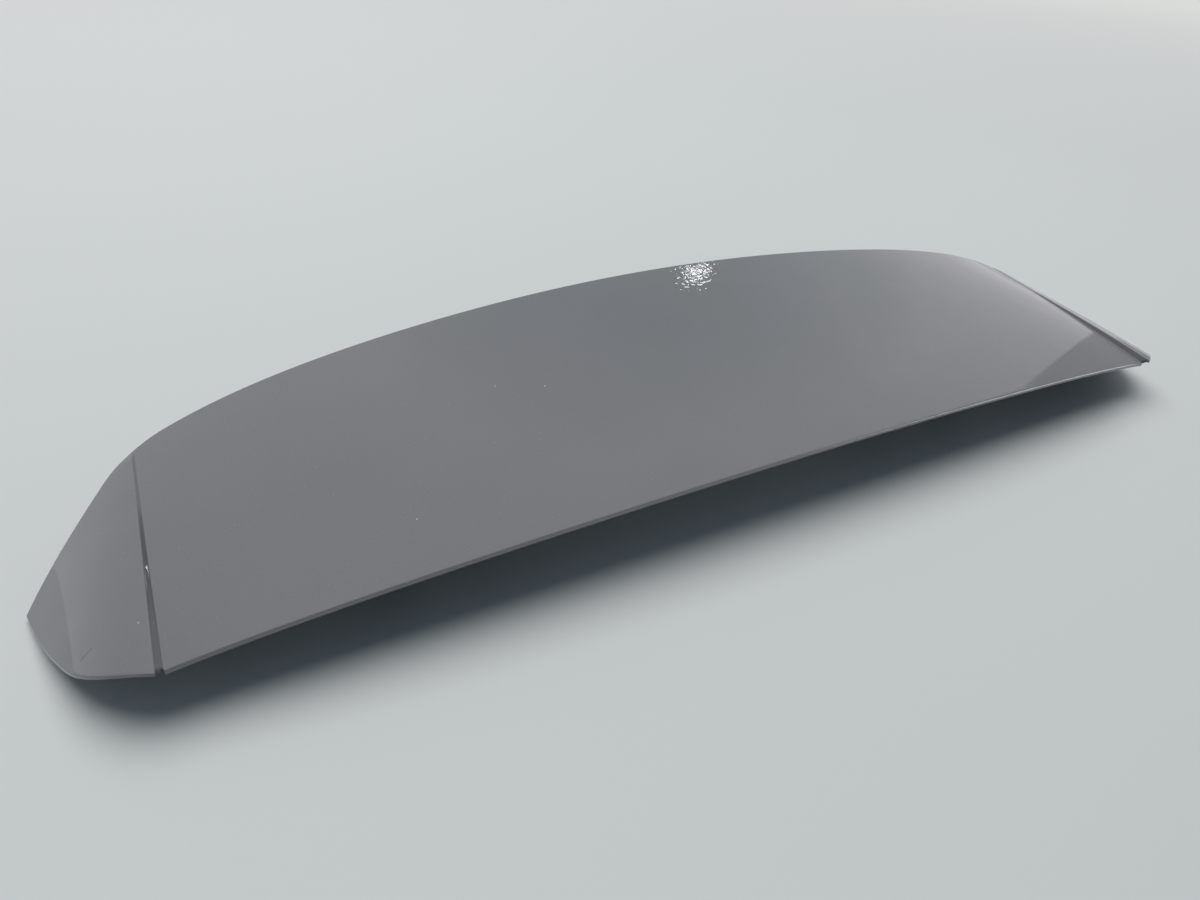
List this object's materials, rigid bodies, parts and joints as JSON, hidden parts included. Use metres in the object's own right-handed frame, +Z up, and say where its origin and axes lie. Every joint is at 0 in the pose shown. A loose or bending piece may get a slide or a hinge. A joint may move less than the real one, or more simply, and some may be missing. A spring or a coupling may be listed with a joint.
{
  "type": "car roof spoiler",
  "caption": "Painted hatchback roof spoiler: a crowned panel with stepped creases and down-turned ears, a black inner shell, and studs, clips and seals that fix it to a tailgate.",
  "frame": {"origin": "on the surface that the spoiler stands on, under the middle of its panel", "axes": "+X across the car towards its right side, +Y towards the car's front, +Z up"},
  "size_m": [1.1978, 0.281, 0.1312],
  "materials": {
    "paint": "solid grey paint under a glossy clear coat with slight orange peel",
    "black_plastic": "black moulded plastic with a fine grain",
    "zinc_steel": "yellow zinc plated steel",
    "spring_steel": "grey spring steel sheet",
    "foam": "dark grey closed-cell foam",
    "seal_rubber": "black satin sealing rubber"
  },
  "bodies": {
    "root": {"outer_skin": "paint", "inner_shell": "black_plastic", "mounting_studs": "zinc_steel", "stud_retainers": "spring_steel", "stud_seals": "foam", "retaining_clips": "spring_steel", "nose_seal": "foam", "glass_seal": "seal_rubber"}
  },
  "joints": []
}
